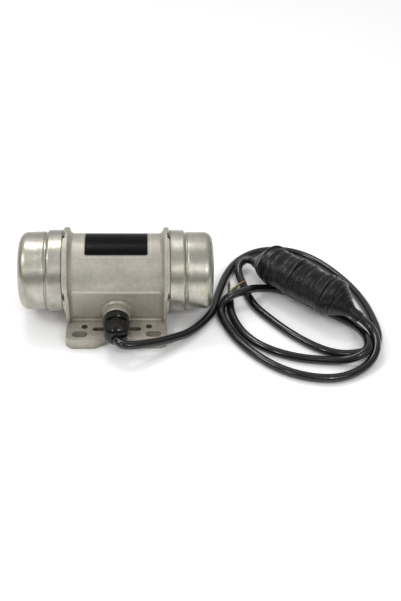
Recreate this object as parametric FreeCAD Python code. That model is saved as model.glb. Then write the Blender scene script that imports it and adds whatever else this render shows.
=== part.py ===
import FreeCAD, Part
import math
import os

# Vibration motor with foot casting, two drawn steel end covers and an in-line capacitor pack.
# Millimetres. X runs along the shaft, Z is up, the front with the cable entry faces -Y.
# The origin is the middle of the foot's hole pattern, on the plane the feet stand on.
# Both ends are alike, so a length along X is written for the right end and mirrored.

os.makedirs("parts", exist_ok=True)
V = FreeCAD.Vector

# Stator, rotor and air gap
stack_half = 20.0
stator_r = 27.0
rotor_r = 16.2
air_gap = 0.4
tooth_tip = 1.6
slot_depth = 5.0
slot_width = 4.6
slot_count = 12
end_turn = 11.0
bar_r = 1.3
bar_count = 18
cage_ring_t = 5.0

# Bearing shield and bearing, outward from the stator
shield_gap = 14.0
shield_lip = 1.5
shield_plate = 6.0
shield_hole_r = 12.0
bearing_w = 11.0
bearing_or = 17.5
journal_r = 7.5
ball_r = 3.0
ball_count = 8
groove_clear = 0.1
race_shoulder = 1.8
ring_t = 1.2
ring_groove = 1.0
screw_r = 1.5
screw_head_r = 2.75
screw_head_t = 2.0
screw_angles = (45, 135, 225, 315)

# Shaft and weights, outward from the bearing
core_shaft_r = 9.0
tail_r = 6.0
spacer_l = 6.5
weight_t = 9.9
washer_t = 0.65
clip_t = 1.1
clip_depth = 0.6
side_play = 0.05
tail_over = 4.4
weight_gap = 3.0
hub_r = 11.0
key_w = 4.0
key_h = 4.0
key_l = 8.0
key_depth = 2.5
clamp_r = 2.0
clamp_rise = 12.6

# Casting
axis_h = 43.5
body_r = 35.15
flange_r = 40.9
flange_in = 44.0
flange_t = 4.8
flange_cove = 3.7
flange_round = 0.9
cover_gap = 0.9
pry_w = 2.9
pry_half = 5.0
pry_depth = 3.3
spigot_r = 37.4
spigot_l = 11.6
spigot_wall = 4.4
seal_x = 4.3
seal_w = 2.5
seal_depth = 1.8

# Feet and the flat front and back walls
foot_t = 10.0
foot_half_x = 46.9
foot_half_y = 62.25
foot_relief = 2.5
foot_notch = 9.35
foot_corner = 3.0
foot_edge = 0.8
wall_y = 32.5
wall_ridge = 0.55
ridge_h = 1.3
wall_cove = 2.0
web_cove = 3.7
web_spread = 4.4
web_waist = 23.5
web_shoulder = 7.5
slot_edge_x = 12.9
slot_edge_y = 9.25
slot_long = 14.8
slot_wide = 8.8
inner_slot_x = 16.25
inner_edge_y = 16.25
inner_long = 13.0
inner_wide = 5.6
hole_edge_x = 16.9
hole_edge_y = 19.75
hole_r = 3.2

# Identification plate and the shallow pad it lies in
plate_half_x = 28.8
plate_half_angle = 29.2
plate_t = 0.5
plate_proud = 0.15
pad_margin_x = 2.6
pad_margin_angle = 3.1

# Cable entry: boss, gland and cable
boss_face = 45.0
boss_r = 12.1
boss_edge = 0.7
thread_r = 8.0
thread_l = 8.0
thread_clear = 0.1
wire_hole_r = 5.5
wire_way = 13.0
wall_root = 7.5
entry_lift = 11.0
collar_flats = 23.6
collar_r = 12.3
collar_t = 9.0
collar_clear = 0.5
nut_flats = 20.6
nut_gap = 1.2
gland_l = 27.2
seal_r = 6.5
seal_from = 13.0
cable_r = 4.0
grip_clear = 0.05

# End covers
cover_wall = 1.0
cover_step = 1.55
cover_draft = 0.4
cover_room = 11.3

# Capacitor pack
pack_left = V(153.4, 29.1, 26.8)
pack_right = V(207.8, -23.0, 26.8)
pack_r = 18.5
tape_t = 3.5
end_pad = 7.5
nozzle_r = 5.2
nozzle_l = 10.4
nub_r = 4.9
core_r = 1.05

# Places that follow from the sizes above
shield_face = stack_half + shield_gap
bearing_in = shield_face + shield_lip
bearing_out = bearing_in + bearing_w
ball_x = (bearing_in + bearing_out) / 2
ball_pitch = (bearing_or + journal_r) / 2
weight_1 = bearing_out + spacer_l
weight_2 = weight_1 + weight_t + washer_t
clip_x = weight_2 + weight_t + side_play
shaft_end = clip_x + clip_t + tail_over
flange_out = flange_in + flange_t
cover_start = flange_out + cover_gap
spigot_end = cover_start + spigot_l
cover_end = shaft_end + cover_room
cover_r = spigot_r + cover_wall
dome_r = cover_r - cover_step
shield_bore = spigot_r - spigot_wall
screw_pitch = shield_bore - screw_head_r - 0.35
weight_r = shield_bore - weight_gap
entry_z = foot_t + entry_lift
slot_x, slot_y = foot_half_x - slot_edge_x, foot_half_y - slot_edge_y
inner_y = foot_half_y - inner_edge_y
hole_x, hole_y = foot_half_x - hole_edge_x, foot_half_y - hole_edge_y

# Control points of the two leads, from the photo. The last point of each is where it ends.
motor_points = [
    (0, -65.5, 21), (0, -74, 21), (5.6, -79.6, 20.7), (14.4, -79.3, 19.2), (26, -74.5, 17),
    (38.5, -68.3, 13.6), (53, -58.7, 9.7), (68.9, -46.5, 5.9), (83.7, -28, 4.2), (93, -11.6, 4),
    (96.8, 5.5, 4), (102.7, 25.3, 4), (108.7, 42.8, 4), (117.4, 59.8, 4), (129.8, 74.2, 4),
    (146, 84.2, 4), (165, 87, 4), (184.5, 83, 4), (203, 71, 4), (220.5, 49, 4), (235, 22.5, 4),
    (243.2, -1.7, 4), (247, -25.4, 4), (248.2, -46, 4), (245, -61.5, 4), (235, -71.5, 4),
    (220, -76, 4), (205, -76, 4), (190.5, -70, 4), (174.8, -58, 4), (159.3, -42, 4),
    (145.8, -24.6, 4), (134.2, -7.8, 4), (127.9, 11, 4), (124.8, 30, 4), (121.8, 43.5, 5.4),
    (122.4, 53.2, 8.2), (127.8, 59.4, 10.8), (134.6, 60, 12), (139.5, 53, 12.5),
]
supply_points = [
    (228.9, -42.8, 19.6), (235.5, -49, 17.8), (240, -59, 14.8), (240.6, -71.5, 12.8),
    (236.7, -83.5, 8.8), (227.7, -93.3, 5), (212.2, -103.5, 4), (194, -108.5, 4),
    (171.3, -105.7, 4), (149, -96, 4), (128.2, -77.5, 4), (112.6, -56.2, 4), (102.8, -34, 4),
    (98.9, -16, 4.8), (102.4, -5.3, 9.8), (110, -1.8, 14.2), (120, 2, 15), (132.5, 9, 14.2),
    (146, 17.6, 7.2), (159.5, 21.3, 4), (174, 13, 4), (195, -7, 4), (213, -21.5, 4),
    (226, -34.5, 5), (231, -50, 8.8), (232.5, -65, 13.5), (231, -79, 14.7), (221.5, -86.4, 11),
    (208.3, -86.3, 5.6), (191.2, -84.2, 4), (168.8, -81.2, 4), (147, -72.9, 4), (129.8, -61, 4),
    (117.6, -44.6, 4), (110.8, -24, 4), (108.4, -6, 4), (108.2, 8.5, 4),
]
core_points = {
    "core_brown": [(106.8, 8.8, 3.9), (106.9, 15, 3.4), (110, 25, 2.2), (112, 36.5, 1.4)],
    "core_blue": [(109.6, 8.8, 3.9), (109.8, 14, 3.4), (114.4, 20.5, 2.2), (120.2, 27, 1.4)],
    "core_green_yellow": [(108.2, 8.8, 6), (109.2, 14, 7.2), (117, 19, 9.2), (126.6, 27, 9.2)],
}
nub_tip, nub_way = V(*motor_points[-1]), V(*motor_points[-1]) - V(*motor_points[-2])
nozzle_tip, nozzle_way = V(*supply_points[0]), V(*supply_points[1]) - V(*supply_points[0])


def save(shape, name):
    """Write one node and print its solids and volume."""
    shape.exportStep("parts/" + name + ".step")
    print(name, len(shape.Solids), round(shape.Volume, 1), shape.isValid())


def group(shapes):
    """Several separate solids under one node."""
    return Part.makeCompound(shapes)


def profile_wire(points):
    """Closed wire through the points; a pair of points is the middle and the end of an arc."""
    edges = []
    last = V(*points[0])
    for item in points[1:]:
        if isinstance(item[0], tuple):
            mid, end = V(*item[0]), V(*item[1])
            edges.append(Part.Arc(last, mid, end).toShape())
        else:
            end = V(*item)
            edges.append(Part.LineSegment(last, end).toShape())
        last = end
    edges.append(Part.LineSegment(last, V(*points[0])).toShape())
    return Part.Wire(edges)


def lifted(points, place):
    """The profile with each (along, out) point put in space by place."""
    return [tuple(place(*p) for p in item) if isinstance(item[0], tuple) else place(*item)
            for item in points]


def spin(points, side=1):
    """Solid of revolution about the shaft axis from (x, r) points."""
    wire = profile_wire(lifted(points, lambda x, r: (side * x, 0, axis_h + r)))
    return Part.Face(wire).revolve(V(0, 0, axis_h), V(1, 0, 0), 360)


def entry_spin(points):
    """Solid of revolution about the cable entry axis from (s, r), s outward from the boss face."""
    wire = profile_wire(lifted(points, lambda s, r: (0, -boss_face - s, entry_z + r)))
    return Part.Face(wire).revolve(V(0, 0, entry_z), V(0, 1, 0), 360)


def ring(r_out, r_in, x0, x1, side=1):
    """Plain ring about the shaft axis."""
    return spin([(x0, r_in), (x1, r_in), (x1, r_out), (x0, r_out)], side)


def rod(r, x0, x1, y, z, side=1):
    """Cylinder along the shaft's direction."""
    a, b = sorted((side * x0, side * x1))
    return Part.makeCylinder(r, b - a, V(a, y, z), V(1, 0, 0))


def box(x0, x1, y0, y1, z0, z1, side=1):
    """Box from its six limits, mirrored in X when side is -1."""
    a, b = sorted((side * x0, side * x1))
    return Part.makeBox(b - a, y1 - y0, z1 - z0, V(a, y0, z0))


def prism(points, x_end):
    """Extrusion from -x_end to x_end of a (y, z) outline."""
    solid = Part.Face(profile_wire(lifted(points, lambda y, z: (-x_end, y, z))))
    return solid.extrude(V(2 * x_end, 0, 0))


def slot(cx, cy, length, width, depth):
    """Round-ended slot along X, through the foot from below."""
    half = (length - width) / 2
    shape = box(cx - half, cx + half, cy - width / 2, cy + width / 2, -1, depth + 1)
    for x in (cx - half, cx + half):
        shape = shape.fuse(Part.makeCylinder(width / 2, depth + 2, V(x, cy, -1)))
    return shape.removeSplitter()


def on_circle(radius, degrees):
    """(y, z) of a point round the shaft."""
    turn = math.radians(degrees)
    return radius * math.cos(turn), axis_h + radius * math.sin(turn)


def sector(half_angle, half_x):
    """Wedge over the top of the casting."""
    reach = 2 * body_r
    outline = [(0, axis_h)]
    for share in (-1, -0.5, 0, 0.5, 1):
        outline.append(on_circle(reach, 90 + share * half_angle))
    return prism(outline, half_x)


def hexagon(across_flats, base, direction, length):
    """Hexagonal prism with a corner at the top and at the bottom."""
    corner = across_flats / math.sqrt(3)
    d = V(direction).normalize()
    up = V(0, 0, 1)
    other = d.cross(up)
    pts = []
    for i in range(7):
        turn = math.radians(60 * i)
        pts.append(base + up * (corner * math.cos(turn)) + other * (corner * math.sin(turn)))
    return Part.Face(Part.makePolygon(pts)).extrude(d * length)


def tube(points, radius, start=None):
    """Round cable along straight runs and tangent arcs. A start point adds a straight lead-in."""
    pts = [V(*p) for p in points]
    edges = []
    radii = []
    last = pts[0]
    for before, corner, after in zip(pts, pts[1:], pts[2:]):
        a, b = corner - before, after - corner
        half = a.getAngle(b) / 2
        reach = 0.45 * min(a.Length, b.Length)
        bend = reach / math.tan(half)
        u, w = V(a).normalize(), V(b).normalize()
        p, q = corner - u * reach, corner + w * reach
        mid = corner + V(w - u).normalize() * (bend / math.cos(half) - bend)
        edges.append(Part.LineSegment(last, p).toShape())
        edges.append(Part.Arc(p, mid, q).toShape())
        radii.append(round(bend, 1))
        last = q
    edges.append(Part.LineSegment(last, pts[-1]).toShape())
    path = Part.Wire(edges)
    tangent = V(pts[1] - pts[0]).normalize()
    section = Part.Wire(Part.makeCircle(radius, pts[0], tangent))
    solid = path.makePipeShell([section], True, False)
    print("tightest bend", min(radii), "length", round(path.Length, 1))
    if start is not None:
        lead_in = Part.makeCylinder(radius, (pts[0] - start).Length, start, tangent)
        solid = solid.fuse(lead_in).removeSplitter()
    return solid


# Housing: tube with flanges and spigots, turned in one profile and mirrored
cove_top = flange_r - flange_round
half_outline = [
    (0, body_r), (flange_in - flange_cove, body_r),
    ((flange_in - 0.35 * flange_cove, 0.62 * body_r + 0.38 * cove_top), (flange_in, cove_top)),
    ((flange_in + 0.29 * flange_round, cove_top + 0.71 * flange_round),
     (flange_in + flange_round, flange_r)),
    (flange_out - 0.6, flange_r), (flange_out, flange_r - 0.6), (flange_out, spigot_r),
    (cover_start + seal_x, spigot_r), (cover_start + seal_x, spigot_r - seal_depth),
    (cover_start + seal_x + seal_w, spigot_r - seal_depth), (cover_start + seal_x + seal_w, spigot_r),
    (spigot_end, spigot_r), (spigot_end, 0), (0, 0),
]
housing = spin(half_outline).fuse(spin(half_outline, -1)).removeSplitter()

# Flat walls below a cast ridge, with a cove to the foot
top_y = body_r - wall_ridge
cove = wall_cove * (1 - math.sqrt(0.5))
wall_side = [
    (math.sqrt(body_r ** 2 - ridge_h ** 2), axis_h + ridge_h), (body_r + wall_ridge, axis_h + 0.3),
    (body_r + wall_ridge, axis_h - 0.9), (top_y, axis_h - 1.9), (top_y, axis_h - 2.9),
    (top_y + 0.3, axis_h - 3.3), (wall_y, foot_t + wall_cove),
    ((wall_y + cove, foot_t + cove), (wall_y + wall_cove, foot_t)), (wall_y + wall_cove, foot_relief),
]
wall_back = [
    (-wall_y - wall_cove, foot_relief), (-wall_y - wall_cove, foot_t),
    ((-wall_y - cove, foot_t + cove), (-wall_y, foot_t + wall_cove)),
    (-top_y - 0.3, axis_h - 3.3), (-top_y, axis_h - 2.9), (-top_y, axis_h - 1.9),
    (-body_r - wall_ridge, axis_h - 0.9), (-body_r - wall_ridge, axis_h + 0.3),
    (-math.sqrt(body_r ** 2 - ridge_h ** 2), axis_h + ridge_h),
]
housing = housing.fuse(prism(wall_side + wall_back, flange_in + 0.5))

# Webs that carry the flanges down to the feet
web_side = [
    (flange_r, axis_h), (flange_r - 0.7, axis_h - web_shoulder), (flange_r - 2.8, axis_h - web_waist),
    (wall_y + web_spread, foot_t), (wall_y + web_spread, foot_relief),
]
web_outline = web_side + [(-y, z) for y, z in reversed(web_side)]
web_end = min(flange_out, foot_half_x)
webs = prism(web_outline, web_end)
webs = webs.cut(box(-flange_in, flange_in, -flange_r - 1, flange_r + 1, 0, axis_h + 1))
housing = housing.fuse(webs)


def web_cove_section(wall, web, height, side, face):
    """Outline of the cove between wall and web at one height."""
    start, bend, end = flange_in - web_cove, flange_in - 0.3 * web_cove, flange_in
    points = [
        (start, wall), ((bend, wall + 0.35 * (web - wall)), (end, web)), (end + 0.4, web),
        (end + 0.4, wall - 1.5), (start, wall - 1.5),
    ]
    return profile_wire(lifted(points, lambda x, y: (side * x, face * y, height)))


for side in (-1, 1):
    for face in (-1, 1):
        levels = [
            (top_y, flange_r - 0.9, axis_h),
            (0.75 * top_y + 0.25 * wall_y, flange_r - 1.6, axis_h - web_shoulder),
            (wall_y, wall_y + web_spread - 0.9, foot_t - 1),
        ]
        for upper, lower in zip(levels, levels[1:]):
            sections = [web_cove_section(*level, side, face) for level in (upper, lower)]
            housing = housing.fuse(Part.makeLoft(sections, True, True))

# Front and back feet, each with two lobes and a notch between them
lobe_in, notch_in, corner_x, corner_y = 20.3, 5.2, 5.7, 4.65
foot_outline = [
    (-foot_half_x + corner_x, foot_half_y), (-lobe_in, foot_half_y),
    (-notch_in, foot_half_y - foot_notch), (notch_in, foot_half_y - foot_notch),
    (lobe_in, foot_half_y), (foot_half_x - corner_x, foot_half_y),
    (foot_half_x, foot_half_y - corner_y), (foot_half_x, wall_y + 5), (flange_in - 2.5, wall_y - 2.5),
    (-flange_in + 2.5, wall_y - 2.5), (-foot_half_x, wall_y + 5), (-foot_half_x, foot_half_y - corner_y),
]
for side in (1, -1):
    outline = [V(x, side * y, 0) for x, y in foot_outline]
    foot = Part.Face(Part.makePolygon(outline + outline[:1])).extrude(V(0, 0, foot_t))
    outer = foot_half_y - foot_notch - 1
    upright = [e for e in foot.Edges if e.BoundBox.ZLength > foot_t / 2
               and abs(e.BoundBox.Center.y) > outer]
    foot = foot.makeFillet(foot_corner, upright)
    rim = [e for e in foot.Edges if e.BoundBox.ZMin > foot_t - 0.01
           and abs(e.BoundBox.Center.y) > wall_y + 8]
    foot = foot.makeFillet(foot_edge, rim)
    housing = housing.fuse(foot)
housing = housing.removeSplitter()

# Boss for the cable entry, flared into the wall
boss_root = wall_y - wall_root
boss = Part.makeCylinder(boss_r, boss_face - boss_root, V(0, -boss_root, entry_z), V(0, -1, 0))
boss = boss.makeChamfer(boss_edge, [e for e in boss.Edges
                                    if e.BoundBox.YMax < -boss_face + 0.01])
flare = Part.makeCone(boss_r + 2.9, boss_r, 4.0, V(0, 0.3 - wall_y, entry_z), V(0, -1, 0))
flare = flare.cut(box(-2 * boss_r, 2 * boss_r, -boss_face, 0, -boss_r, foot_t))
housing = housing.fuse(boss).fuse(flare)
collar_room = Part.makeCylinder(collar_r + collar_clear, foot_half_y, V(0, -boss_face, entry_z),
                                V(0, -1, 0))
housing = housing.cut(collar_room)

# Bores: shield seats, stator seat, gland thread and the way for the wires
for side in (-1, 1):
    housing = housing.cut(rod(shield_bore, shield_face, spigot_end + 1, 0, axis_h, side))
housing = housing.cut(rod(stator_r, -shield_face - 1, shield_face + 1, 0, axis_h))
thread_hole = thread_l + 1
housing = housing.cut(Part.makeCylinder(thread_r + thread_clear, thread_hole + 1,
                                        V(0, -boss_face - 1, entry_z), V(0, 1, 0)))
housing = housing.cut(Part.makeCylinder(wire_hole_r, boss_face - thread_l - stator_r + wire_way,
                                        V(0, -boss_face + thread_l, entry_z), V(0, 1, 0)))
housing = housing.cut(box(1 - wire_hole_r, stack_half + end_turn - 1, -stator_r, wire_way - stator_r,
                          entry_z + 0.5 - wire_hole_r, entry_z + 0.5 + wire_hole_r))

# Foot drilling: outer slots, inner slots and holes
for sx in (-1, 1):
    for sy in (-1, 1):
        housing = housing.cut(Part.makeCylinder(hole_r, foot_t + 2, V(sx * hole_x, sy * hole_y, -1)))
        housing = housing.cut(slot(sx * inner_slot_x, sy * inner_y, inner_long, inner_wide, foot_t))
        housing = housing.cut(slot(sx * slot_x, sy * slot_y, slot_long, slot_wide, foot_t))

# Pry notches in the flanges, beside the covers
for angle in (0, 90, 180, 270):
    for side in (-1, 1):
        notch = box(cover_start - pry_w, cover_start, -pry_half, pry_half,
                    axis_h + spigot_r - pry_depth, axis_h + flange_r + 1, side)
        notch.rotate(V(0, 0, axis_h), V(1, 0, 0), angle)
        housing = housing.cut(notch)

# Pad for the identification plate
pad_depth = plate_t - plate_proud
pad = ring(body_r + 1, body_r - pad_depth, -body_r, body_r)
housing = housing.cut(pad.common(sector(plate_half_angle + pad_margin_angle,
                                        plate_half_x + pad_margin_x)))

# Tapped holes for the shield screws
for side in (-1, 1):
    for degrees in screw_angles:
        y, z = on_circle(screw_pitch, degrees)
        housing = housing.cut(rod(screw_r, shield_face - 10, shield_face + 1, y, z, side))
save(housing, "housing")

# Bare identification plate on the top of the casting
name_plate = ring(body_r + plate_proud, body_r - pad_depth, -body_r, body_r)
name_plate = name_plate.common(sector(plate_half_angle, plate_half_x))
name_plate = name_plate.makeFillet(2.0, [e for e in name_plate.Edges
                                         if len(e.Vertexes) == 2 and e.Length < 1.4 * plate_t])
save(name_plate, "nameplate")

# End covers: drawn cups pushed over the spigot, rolled in behind its end
lip_r = dome_r - cover_draft
cover_profile = [
    (cover_start, spigot_r), (spigot_end, spigot_r), (spigot_end, spigot_r - 1.2),
    (spigot_end + 2.6, dome_r - 0.75 - cover_wall), (spigot_end + 4.1, dome_r - 0.75 - cover_wall),
    (spigot_end + 5.3, dome_r - cover_wall), (cover_end - 8.6, lip_r - cover_wall),
    ((cover_end - 3.3, lip_r - 3.3), (cover_end - 1.5, lip_r - 8.6)),
    (cover_end - cover_wall, 12.0), (cover_end - cover_wall, 0), (cover_end, 0), (cover_end, 12.0),
    (cover_end - 0.5, lip_r - 8.4), ((cover_end - 2.6, lip_r - 2.55), (cover_end - 8.4, lip_r)),
    (spigot_end + 5.6, dome_r), ((spigot_end + 4.7, dome_r - 0.25), (spigot_end + 4.0, dome_r - 0.75)),
    (spigot_end + 2.8, dome_r - 0.75), ((spigot_end + 1.9, dome_r + 0.65), (spigot_end + 0.1, cover_r)),
    (cover_start + 0.3, cover_r), (cover_start, cover_r - 0.3),
]
seal_a, seal_b = cover_start + seal_x, cover_start + seal_x + seal_w
seal_low = spigot_r - seal_depth
seal_profile = [
    (seal_a + 0.35, seal_low), (seal_b - 0.35, seal_low), (seal_b, seal_low + 0.35),
    (seal_b, spigot_r - 0.35), (seal_b - 0.35, spigot_r), (seal_a + 0.35, spigot_r),
    (seal_a, spigot_r - 0.35), (seal_a, seal_low + 0.35),
]

# Bearing shield with the outer ring's seat and the groove for the retaining ring
groove_r = bearing_or + ring_groove
rim_x = bearing_out + ring_t + 1.5
shield_profile = [
    (shield_face, shield_hole_r), (bearing_in, shield_hole_r), (bearing_in, bearing_or),
    (bearing_out, bearing_or), (bearing_out, groove_r), (bearing_out + ring_t, groove_r),
    (bearing_out + ring_t, bearing_or), (rim_x, bearing_or), (rim_x, bearing_or + 4.5),
    (shield_face + shield_plate + 3, bearing_or + 5.1), (shield_face + shield_plate, bearing_or + 7.7),
    (shield_face + shield_plate, shield_bore), (shield_face, shield_bore),
]

# Bearing rings with a groove that the balls run in
race_r = ball_r + groove_clear
race_half = math.sqrt(race_r ** 2 - race_shoulder ** 2)
outer_race = ball_pitch + race_shoulder
inner_race = ball_pitch - race_shoulder
outer_profile = [
    (bearing_in, outer_race), (ball_x - race_half, outer_race),
    ((ball_x, ball_pitch + race_r), (ball_x + race_half, outer_race)), (bearing_out, outer_race),
    (bearing_out, bearing_or - 0.4), (bearing_out - 0.4, bearing_or), (bearing_in + 0.4, bearing_or),
    (bearing_in, bearing_or - 0.4),
]
inner_profile = [
    (bearing_in, journal_r), (bearing_out, journal_r), (bearing_out, inner_race),
    (ball_x + race_half, inner_race), ((ball_x, ball_pitch - race_r), (ball_x - race_half, inner_race)),
    (bearing_in, inner_race),
]


def ball_turns():
    """The angle of each ball."""
    return [360 * i / ball_count for i in range(ball_count)]


def bearing_balls(side):
    """Balls on the pitch circle."""
    balls = []
    for degrees in ball_turns():
        y, z = on_circle(ball_pitch, degrees)
        balls.append(Part.makeSphere(ball_r, V(side * ball_x, y, z)))
    return balls


def bearing_cage(side):
    """Ring with a radial pocket for each ball."""
    cage = ring(ball_pitch + 1.1, ball_pitch - 1.1, ball_x - 3.7, ball_x + 3.7, side)
    for degrees in ball_turns():
        way = V(0, math.cos(math.radians(degrees)), math.sin(math.radians(degrees)))
        root = V(side * ball_x, 0, axis_h) + way * (ball_pitch - 3.5)
        cage = cage.cut(Part.makeCylinder(ball_r + groove_clear, 8, root, way))
    return cage


def retaining_ring(side):
    """Open spring ring with two ears, in the shield's groove."""
    ring_x = (bearing_out, bearing_out + ring_t)
    clip = ring(groove_r, groove_r - 2.3, *ring_x, side)
    clip = clip.cut(box(ring_x[0] - 1, ring_x[1] + 1, -3.2, 3.2, axis_h - groove_r - 1, axis_h, side))
    ear_z = axis_h - groove_r + 3.1
    for y in (-5.0, 5.0):
        clip = clip.fuse(rod(2.0, *ring_x, y, ear_z, side))
        clip = clip.cut(rod(0.8, ring_x[0] - 1, ring_x[1] + 1, y, ear_z, side))
    return clip.removeSplitter()


def shield_screws(side):
    """Pan head screws with a cross recess, through the shield into the casting."""
    face = shield_face + shield_plate
    screws = []
    for degrees in screw_angles:
        y, z = on_circle(screw_pitch, degrees)
        screw = rod(screw_r, shield_face - 9, face, y, z, side)
        screw = screw.fuse(rod(screw_head_r, face, face + screw_head_t, y, z, side))
        for wide, high in ((1.6, 0.35), (0.35, 1.6)):
            screw = screw.cut(box(face + 1.2, face + screw_head_t + 1, y - wide, y + wide,
                                  z - high, z + high, side))
        screws.append(screw.removeSplitter())
    return group(screws)


def weight(side, x0, bore):
    """Eccentric weight: a half disc that hangs down from a hub."""
    x1 = x0 + weight_t
    half = rod(weight_r, x0, x1, 0, axis_h, side)
    half = half.cut(box(x0 - 1, x1 + 1, -weight_r - 1, weight_r + 1, axis_h + 1.5,
                        axis_h + weight_r + 1, side))
    tips = [e for e in half.Edges if e.BoundBox.ZMin > axis_h + 1.49 and e.BoundBox.YLength < 0.01]
    half = half.makeFillet(1.5, tips)
    solid = half.fuse(rod(hub_r, x0, x1, 0, axis_h, side)).removeSplitter()
    return solid.cut(rod(bore, x0 - 1, x1 + 1, 0, axis_h, side))


def clamp_weight(side):
    """Adjustable weight with a split hub drawn together by a screw."""
    x0, x1 = weight_2, weight_2 + weight_t
    bore = tail_r + side_play
    solid = weight(side, x0, bore)
    ears = box(x0, x1, -9, 9, axis_h + tail_r, axis_h + clamp_rise + 4.4, side)
    solid = solid.fuse(ears.cut(rod(bore, x0 - 1, x1 + 1, 0, axis_h, side))).removeSplitter()
    solid = solid.cut(box(x0 - 1, x1 + 1, -0.8, 0.8, axis_h + 3, axis_h + clamp_rise + 6, side))
    middle = side * (x0 + x1) / 2
    return solid.cut(Part.makeCylinder(clamp_r, 30, V(middle, -15, axis_h + clamp_rise), V(0, 1, 0)))


def clamp_screw(side):
    """Socket head screw across the split hub."""
    middle = side * (weight_2 + weight_t / 2)
    height = axis_h + clamp_rise
    shank = Part.makeCylinder(clamp_r, 18, V(middle, -9, height), V(0, 1, 0))
    head = Part.makeCylinder(clamp_r + 1.5, 4, V(middle, -13, height), V(0, 1, 0))
    socket = hexagon(3.0, V(middle, -13.5, height), V(0, 1, 0), 2.8)
    return shank.fuse(head).cut(socket)


def key_place(side, above):
    """Box of the weight's key, or of its keyway with room above it."""
    middle = weight_1 + weight_t / 2
    low = axis_h + tail_r - key_depth
    return box(middle - key_l / 2, middle + key_l / 2, -key_w / 2, key_w / 2, low,
               low + key_h + above, side)


for side, word in ((-1, "left"), (1, "right")):
    save(spin(cover_profile, side), word + "_cover")
    save(spin(seal_profile, side), word + "_cover_seal")
    shield = spin(shield_profile, side)
    for degrees in screw_angles:
        y, z = on_circle(screw_pitch, degrees)
        shield = shield.cut(rod(screw_r, shield_face - 1, rim_x, y, z, side))
    save(shield, word + "_bearing_shield")
    save(shield_screws(side), word + "_shield_screws")
    save(retaining_ring(side), word + "_retaining_ring")
    save(spin(outer_profile, side), word + "_bearing_outer_ring")
    save(spin(inner_profile, side), word + "_bearing_inner_ring")
    save(group(bearing_balls(side)), word + "_bearing_balls")
    save(bearing_cage(side), word + "_bearing_cage")
    save(ring(tail_r + 3.5, tail_r, bearing_out, weight_1, side), word + "_spacer")
    save(key_place(side, 0), word + "_weight_key")
    fixed = weight(side, weight_1, tail_r)
    fixed = fixed.cut(box(weight_1 - 1, weight_1 + weight_t + 1, -key_w / 2, key_w / 2, axis_h,
                          axis_h + tail_r - key_depth + key_h, side))
    save(fixed, word + "_fixed_weight")
    save(ring(tail_r + 3.0, tail_r, weight_1 + weight_t, weight_2 - side_play, side),
         word + "_weight_washer")
    save(clamp_weight(side), word + "_adjustable_weight")
    save(clamp_screw(side), word + "_clamp_screw")
    clip = ring(tail_r + 2.6, tail_r - clip_depth, clip_x, clip_x + clip_t, side)
    save(clip.cut(box(clip_x - 1, clip_x + clip_t + 1, -2.2, 2.2, axis_h, axis_h + tail_r + 4, side)),
         word + "_shaft_clip")

# Shaft
half_shaft = [
    (0, core_shaft_r), (bearing_in, core_shaft_r), (bearing_in, journal_r), (bearing_out, journal_r),
    (bearing_out, tail_r), (clip_x, tail_r), (clip_x, tail_r - clip_depth),
    (clip_x + clip_t, tail_r - clip_depth), (clip_x + clip_t, tail_r), (shaft_end - 0.8, tail_r),
    (shaft_end, tail_r - 0.8), (shaft_end, 0), (0, 0),
]
shaft = spin(half_shaft).fuse(spin(half_shaft, -1)).removeSplitter()
for side in (-1, 1):
    shaft = shaft.cut(key_place(side, 1.5))
save(shaft, "shaft")

# Rotor core with its cast cage
bars = []
for i in range(bar_count):
    y, z = on_circle(rotor_r - 2.0, 360 * i / bar_count)
    bars.append(rod(bar_r, -stack_half, stack_half, y, z))
save(ring(rotor_r, core_shaft_r, -stack_half, stack_half).cut(group(bars)), "rotor_core")
rotor_cage = group(bars)
for side in (-1, 1):
    rotor_cage = rotor_cage.fuse(ring(rotor_r - 0.6, core_shaft_r + 2, stack_half,
                                      stack_half + cage_ring_t, side))
save(rotor_cage.removeSplitter(), "rotor_cage")

# Stator core and windings
stator_bore = rotor_r + air_gap
slot_in = stator_bore + tooth_tip
slot_out = slot_in + slot_depth
slots = []
for i in range(slot_count):
    bar = box(-stack_half, stack_half, -slot_width / 2, slot_width / 2, axis_h + slot_in,
              axis_h + slot_out)
    bar.rotate(V(0, 0, axis_h), V(1, 0, 0), 360 * i / slot_count)
    slots.append(bar)
save(ring(stator_r, stator_bore, -stack_half, stack_half).cut(group(slots)), "stator_core")
turn_end = stack_half + end_turn
end_turns = [
    (stack_half, slot_in - 0.6), (turn_end - 1.5, slot_in - 0.6), (turn_end, slot_in + 0.8),
    (turn_end, slot_out - 0.4), (turn_end - 2.5, slot_out + 1.4), (stack_half + 2.5, slot_out + 1.4),
    (stack_half, slot_out + 0.4),
]
windings = spin(end_turns).fuse(spin(end_turns, -1)).fuse(slots).removeSplitter()
save(windings, "stator_windings")

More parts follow.
